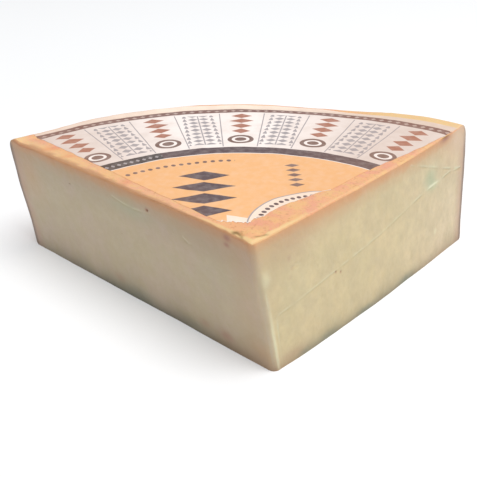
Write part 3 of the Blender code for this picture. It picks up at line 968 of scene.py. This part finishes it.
# Soft oval marks of each kind, in millimetres: along, height, half sizes along and up, strength.
MARKS = {
    # Brownish patches of ripened paste, and red blots in the rind. Some on the cuts, just below the top by
    # the tip and at the far ends, are painted shade.
    "ripe_and_shade": {
        TOP: (
            (0.0, 20.0, 20.0, 10.0, 0.12), (-113.0, 123.5, 5.0, 3.0, 0.55), (-101.0, 111.0, 4.0, 2.6, 0.45),
            (-64.0, 72.0, 3.0, 3.0, 0.4),
        ),
        RIGHT: (
            (8.0, 44.0, 10.0, 12.0, 0.2), (10.0, 62.0, 22.0, 12.0, 0.42), (50.0, 68.0, 30.0, 7.0, 0.4),
            (185.0, 66.0, 14.0, 12.0, 0.45),
        ),
        LEFT: (
            (10.0, 33.0, 11.0, 30.0, 0.22), (5.0, 9.0, 7.0, 6.0, 0.4), (12.0, 60.0, 16.0, 14.0, 0.25),
            (185.0, 56.0, 10.0, 18.0, 0.5),
        ),
    },
    "chalky": {
        RIGHT: (
            (190.0, 68.0, 11.0, 9.0, 0.8),
        ),
        TOP: (
            (131.0, 130.0, 7.0, 6.0, 0.6),
        ),
    },
    # Reddish spots in the paste; the small dark ones in the eyes, and those on the top in the dents at the
    # tip, are painted shade.
    "bruise_and_hollow_shade": {
        RIGHT: (
            (174.0, 71.4, 5.5, 2.0, 1.0), (25.0, 62.0, 12.0, 11.0, 0.14), (21.5, 56.0, 1.1, 1.4, 0.25),
            (22.8, 50.0, 1.4, 1.0, 0.22), (20.3, 46.1, 1.2, 0.9, 0.22), (16.0, 4.5, 9.0, 2.8, 0.24),
            (55.7, 34.2, 0.7, 0.7, 0.8), (59.7, 32.7, 0.7, 0.7, 0.8),
        ),
        LEFT: (
            (32.0, 62.0, 28.0, 12.0, 0.18), (17.2, 69.0, 2.2, 1.8, 0.8), (18.2, 65.0, 1.6, 1.2, 0.7),
            (75.2, 64.7, 1.2, 1.1, 0.8), (29.5, 8.0, 4.5, 3.0, 0.5), (45.3, 8.8, 4.0, 2.5, 0.3),
            (113.8, 9.3, 5.0, 3.0, 0.3),
        ),
        TOP: (
            (-8.6, 10.4, 1.4, 1.4, 0.8), (-7.2, 11.2, 1.3, 1.2, 0.8), (-5.8, 9.8, 1.2, 1.8, 0.7),
            (-4.9, 7.0, 1.0, 2.2, 0.5), (2.8, 6.6, 1.8, 0.7, 0.7), (5.6, 8.0, 2.2, 0.7, 0.7),
        ),
    },
    # Grey-green tinge; the wide, faint patch by the tip of the right cut is painted shade.
    "mould_and_shade": {
        RIGHT: (
            (12.0, 52.0, 20.0, 20.0, 0.18), (156.0, 53.5, 7.0, 6.0, 0.6), (160.0, 48.0, 5.0, 3.0, 0.5),
        ),
        LEFT: (
            (26.0, 52.0, 16.0, 14.0, 0.14), (90.0, 60.0, 16.0, 5.0, 0.35),
        ),
    },
    "damp": {
        RIGHT: (
            (125.0, 1.2, 7.5, 2.4, 0.6), (80.0, 1.0, 8.0, 2.2, 0.55), (44.0, 1.2, 9.0, 2.4, 0.45),
            (24.0, 1.2, 5.0, 2.0, 0.45),
        ),
        LEFT: (
            (100.0, 4.0, 20.0, 4.5, 0.3), (55.0, 3.5, 10.0, 4.0, 0.25),
        ),
    },
    # Light flecks, and painted highlights on a nub and along the worn upright edge by the tip.
    "pale": {
        RIGHT: (
            (160.0, 48.2, 6.0, 1.1, 0.9), (163.2, 17.7, 1.2, 1.6, 0.6), (4.5, 51.5, 2.4, 4.0, 0.35),
            (3.6, 17.0, 1.0, 21.0, 0.4),
        ),
    },
}

# The pale lip of each knife mark is a painted highlight.
KNIFE_LIP = 0.0008  # how far above a knife mark its pale lip lies
# How far the rind rolls down over the right cut, and over the far left corner.
RIND_WRAP, CORNER_WRAP = 0.0007, 0.0022
# How far the foot's dark edge, partly damp and partly painted contact shadow, and its rubbed brown reach up
# each cut, and how strong they are from the tip to the rim: (along, strength).
FOOT_SHADOW_AND_DAMP = {
    LEFT: (0.0056, (
        (0.0, 0.15), (0.012, 0.25), (0.030, 0.60), (0.060, 0.85), (0.110, 1.0), (0.150, 0.80), (0.200, 0.45),
    )),
    RIGHT: (0.0042, (
        (0.0, 0.15), (0.010, 0.30), (0.030, 0.68), (0.130, 0.75), (0.150, 0.40), (0.170, 0.25), (0.200, 0.35),
    )),
}
FOOT_WARM = {
    LEFT: (0.0080, ((0.0, 0.60), (0.030, 0.65), (0.050, 0.35), (0.090, 0.15), (0.200, 0.10))),
    RIGHT: (0.0050, ((0.0, 0.70), (0.015, 0.45), (0.030, 0.15), (0.130, 0.15), (0.150, 0.45), (0.200, 0.50))),
}
# The worn strip along the left cut: distance from the axis, and how wide it is there.
BARE_WIDTHS = (
    (0.0, 0.0), (0.040, 0.0008), (0.055, 0.0014), (0.070, 0.0021), (0.090, 0.0024), (0.150, 0.0023),
    (0.180, 0.0026), (0.192, 0.0006), (0.200, 0.0),
)


def foot_strength(side, along, height, feet):
    """How strong a colour along the foot is at a place on a cut, for the dark edge and for the rubbed brown
    alike.
    """
    if not side:
        return 0.0
    reach, profile = feet[side]
    reach *= 1.0 + 0.5 * noise.noise(Vector((along * 55.0, 0.0, 11.0 * side)))
    return profile_at(profile, along) * math.exp(-height / reach)


def bare_strength(x, y):
    """How brown and worn the top's rind is, in a narrow uneven strip along the left cut."""
    from_left = from_cuts(x, y)[0]
    wander = 0.0010 * noise.noise(Vector((x * 160.0, y * 160.0, 4.0)))
    width = profile_at(BARE_WIDTHS, math.hypot(x, y))
    return 0.9 * (1.0 - between(from_left + wander, width - 0.0004, width + 0.0006))


def lip_and_highlight_strength(x, y):
    """How yellow the rolled-over rind is, partly painted highlight: round the tip, along the cuts, and on the
    right rim.
    """
    from_left, from_right = from_cuts(x, y)
    radius = math.hypot(x, y)
    wander = 0.0012 * noise.noise(Vector((x * 140.0, y * 140.0, 2.0)))
    left = blend(0.25, 0.60, between(radius, 0.11, 0.15)) * between(radius, 0.030, 0.045)
    left *= 1.0 - between(from_left + wander, 0.0050, 0.0110)
    right = 0.3 * (1.0 - between(from_right + wander, 0.0008, 0.0022))
    tip = 1.0 - between(min(from_left, 1.6 * from_right) + wander, 0.0020, 0.0042)
    tip *= 1.0 - between(radius, 0.024, 0.048)
    corner = 0.85 * (1.0 - between(math.hypot(from_left * 1.6, WHEEL_RADIUS - radius), 0.009, 0.021))
    rim = 0.9 * between(radius, 0.186, 0.190) * between(angle_of(x, y), 14.0, 34.0)
    return max(left, right, tip, corner, rim)


def surface_marks(x, y, z):
    """What the materials have to know about a place on the regular wheel's surface."""
    side, along, height = cut_place(x, y, z)
    on_top = side == 0 and z > WHEEL_HEIGHT - SHOULDER_RADIUS
    where = (TOP, x, y) if on_top else (side, along, height)
    radius, top_depth = math.hypot(x, y), WHEEL_HEIGHT - z
    near_top = 1.0 - between(top_depth, 0.006, 0.020)
    ovals = {name: spots(*where, marks) for name, marks in MARKS.items()}
    # Along each knife mark, a painted highlight on its upper lip and painted shadow in its bottom.
    ovals["pale"] += 0.7 * knife_mark(side, along, height - KNIFE_LIP)
    return {
        **{name: min(strength, 1.0) for name, strength in ovals.items()},
        "crease": 0.60 * knife_mark(side, along, height),
        "top_depth": top_depth,
        "rim_depth": WHEEL_RADIUS - radius,
        "side": between(top_depth, 0.004, 0.012) * between(radius, 0.190, 0.198),
        "underside": (1.0 - between(z, 0.0005, 0.002)) * (1.0 - between(radius, 0.196, 0.199)),
        # The foot's dark edge: partly damp, partly painted contact shadow.
        "foot_shadow_and_damp": foot_strength(side, along, height, FOOT_SHADOW_AND_DAMP),
        "foot_warm": foot_strength(side, along, height, FOOT_WARM),
        "lip": lip_and_highlight_strength(x, y) * near_top,
        "bare": bare_strength(x, y) * near_top,
    }


def store_surface(mesh, places):
    """Keeps, for the materials, where on the regular wheel each point lies, and how it is marked."""
    marks = [surface_marks(*place) for place in places]
    for name in marks[0]:
        values = [each[name] for each in marks]
        mesh.attributes.new(name, "FLOAT", "POINT").data.foreach_set("value", values)
    flat = [number for place in places for number in place]
    mesh.attributes.new("wheel_place", "FLOAT_VECTOR", "POINT").data.foreach_set("vector", flat)


def centre_axis(mesh, places):
    """The wheel's axis in the frame: the bare form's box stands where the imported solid's does."""
    low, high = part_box("cheese")
    bare = [uneven(*place) for place in places]
    return [
        (low[i] + high[i]) / 2.0 - (min(p[i] for p in bare) + max(p[i] for p in bare)) / 2.0 for i in (0, 1)
    ]


class MESH_OT_cheese_quarter(bpy.types.Operator):
    """Models the quarter of cheese: its section spun between the two cuts, then worn, sagged and marked"""

    bl_idname = "mesh.cheese_quarter"
    bl_label = "Cheese quarter"

    def execute(self, context):
        form, colours = context.scene.cheese_form, context.scene.cheese_colours
        piece = new_grid("cheese_quarter", SECTION_COLUMNS, SECTION_ROWS)
        outwards = math.sqrt(0.5)
        for vertex in piece.data.vertices:
            r, z = rounded_section(spread(vertex.co.x) * WHEEL_RADIUS, spread(vertex.co.y) * WHEEL_HEIGHT)
            vertex.co = (r * outwards, r * outwards, z)
        spin_quarter(piece)
        refine_marks(piece)
        mesh = piece.data
        places = []
        for vertex in mesh.vertices:
            x, y, z = vertex.co
            if cut_place(x, y, z)[0] == 0:
                x, y = column_place(x, y)
            places.append((x, y, z))
        mesh.materials.append(paste_material(colours))
        mesh.materials.append(rind_material(colours))
        for face in mesh.polygons:
            side, along, height = cut_place(*face.center)
            wrap = RIND_WRAP if side == RIGHT else CORNER_WRAP * between(along, 0.160, 0.190)
            wrapped = height > WHEEL_HEIGHT - wrap
            face.material_index = 0 if side and not wrapped else 1
        store_surface(mesh, places)
        form.axis = centre_axis(mesh, places)
        shift = Vector((*form.axis, 0.0))
        for vertex, place in zip(mesh.vertices, places):
            vertex.co = surface_place(*place, form) + shift
        bpy.ops.object.shade_smooth_by_angle(angle=math.radians(SMOOTH_ANGLE))
        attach(piece, "root")
        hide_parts("cheese")
        return {"FINISHED"}


class MESH_OT_paper_label(bpy.types.Operator):
    """Models the label: a flat sheet, trimmed and torn, laid onto the rind and given its thickness"""

    bl_idname = "mesh.paper_label"
    bl_label = "Paper label"

    def execute(self, context):
        form = context.scene.cheese_form
        cheese = bpy.data.objects.get("cheese_quarter")
        if cheese is None:
            raise RuntimeError("the label is laid onto the cheese quarter, which has to be made first")
        piece = new_grid("paper_label", LABEL_COLUMNS, LABEL_ROWS)
        from_tear = []
        for vertex in piece.data.vertices:
            x, y = label_place(vertex.co.x, spread(vertex.co.y), form.raggedness)
            start = label_place(vertex.co.x, 0.0, form.raggedness)
            from_tear.append(math.hypot(x - start[0], y - start[1]))
            vertex.co = (x + form.axis[0], y + form.axis[1], LABEL_START_HEIGHT)
        piece.data.attributes.new("from_tear", "FLOAT", "POINT").data.foreach_set("value", from_tear)
        apply_modifier(
            piece,
            "SHRINKWRAP",
            target=cheese,
            wrap_method="PROJECT",
            use_project_z=True,
            use_negative_direction=True,
            use_positive_direction=False,
            wrap_mode="ABOVE_SURFACE",
            offset=form.paper_gap,
        )
        apply_modifier(piece, "SOLIDIFY", thickness=form.paper_thickness, offset=1.0)
        piece.data.materials.append(label_material(context.scene.label_inks, form.axis))
        bpy.ops.object.shade_smooth_by_angle(angle=math.radians(SMOOTH_ANGLE))
        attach(piece, "root")
        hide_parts("label")
        return {"FINISHED"}


# The stage. The camera stands where the photograph was taken from: its place is from the wheel's axis.
CAMERA_PLACE = (-0.01903, -0.29036, 0.22529)
CAMERA_PITCH, CAMERA_HEADING, CAMERA_ROLL = 27.370, 2.441, 0.321  # down, to the right, its top leftwards
FLOOR_SIZE = 12.0
KEY_DIRECTION, KEY_DISTANCE, KEY_SIZE = (0.26, -0.14, 0.955), 4.0, 3.2


class SCENE_OT_cheese_stage(bpy.types.Operator):
    """Sets the stage: a plain pale floor, soft light from above and the camera"""

    bl_idname = "scene.cheese_stage"
    bl_label = "Stage"

    def execute(self, context):
        scene, studio = context.scene, context.scene.cheese_studio
        bpy.ops.object.select_all(action="DESELECT")
        bpy.ops.mesh.primitive_plane_add(size=FLOOR_SIZE, location=(0.0, 0.0, 0.0))
        floor = context.object
        floor.name = "studio_floor"
        floor.data.materials.append(floor_material(studio.floor, studio.glow))
        world = bpy.data.worlds.new("Studio")
        world.use_nodes = True
        sky = {"Color": opaque(studio.sky), "Strength": studio.sky_strength}
        feed(world.node_tree, world.node_tree.nodes["Background"], sky)
        scene.world = world
        direction = Vector(KEY_DIRECTION).normalized()
        bpy.ops.object.light_add(type="AREA", location=direction * KEY_DISTANCE)
        key = context.object
        key.name = "key_light"
        key.rotation_euler = direction.to_track_quat("Z", "Y").to_euler()
        key.data.energy = studio.key_power
        key.data.size = KEY_SIZE
        turn = Euler((math.radians(90.0 - CAMERA_PITCH), 0.0, math.radians(-CAMERA_HEADING))).to_matrix()
        turn = turn @ Matrix.Rotation(math.radians(CAMERA_ROLL), 3, "Z")
        stand = Vector(CAMERA_PLACE) + Vector((*scene.cheese_form.axis, 0.0))
        bpy.ops.object.camera_add(location=stand, rotation=turn.to_euler())
        camera = context.object
        camera.name = "camera"
        camera.data.lens = studio.lens
        camera.data.clip_start = 0.01
        scene.camera = camera
        scene.view_settings.view_transform = "Standard"
        return {"FINISHED"}


class VIEW3D_PT_cheese(bpy.types.Panel):
    """Lists the steps that make the cheese"""

    bl_idname = "VIEW3D_PT_cheese"
    bl_label = "Cheese quarter"
    bl_space_type = "VIEW_3D"
    bl_region_type = "UI"
    bl_category = "Cheese"

    def draw(self, context):
        for operator in OPERATORS:
            self.layout.operator(operator.bl_idname)


SETTINGS = {
    "cheese_form": CheeseForm,
    "cheese_colours": CheeseColours,
    "label_inks": LabelInks,
    "cheese_studio": StudioSettings,
}
OPERATORS = (MESH_OT_cheese_quarter, MESH_OT_paper_label, SCENE_OT_cheese_stage)
CLASSES = (*SETTINGS.values(), *OPERATORS, VIEW3D_PT_cheese)


def register():
    for each in CLASSES:
        bpy.utils.register_class(each)
    for name, group in SETTINGS.items():
        setattr(bpy.types.Scene, name, bpy.props.PointerProperty(type=group))


def unregister():
    for name in SETTINGS:
        delattr(bpy.types.Scene, name)
    for each in reversed(CLASSES):
        bpy.utils.unregister_class(each)


def main():
    register()
    bpy.ops.mesh.cheese_quarter()
    bpy.ops.mesh.paper_label()
    bpy.ops.scene.cheese_stage()


if __name__ == "__main__":
    main()
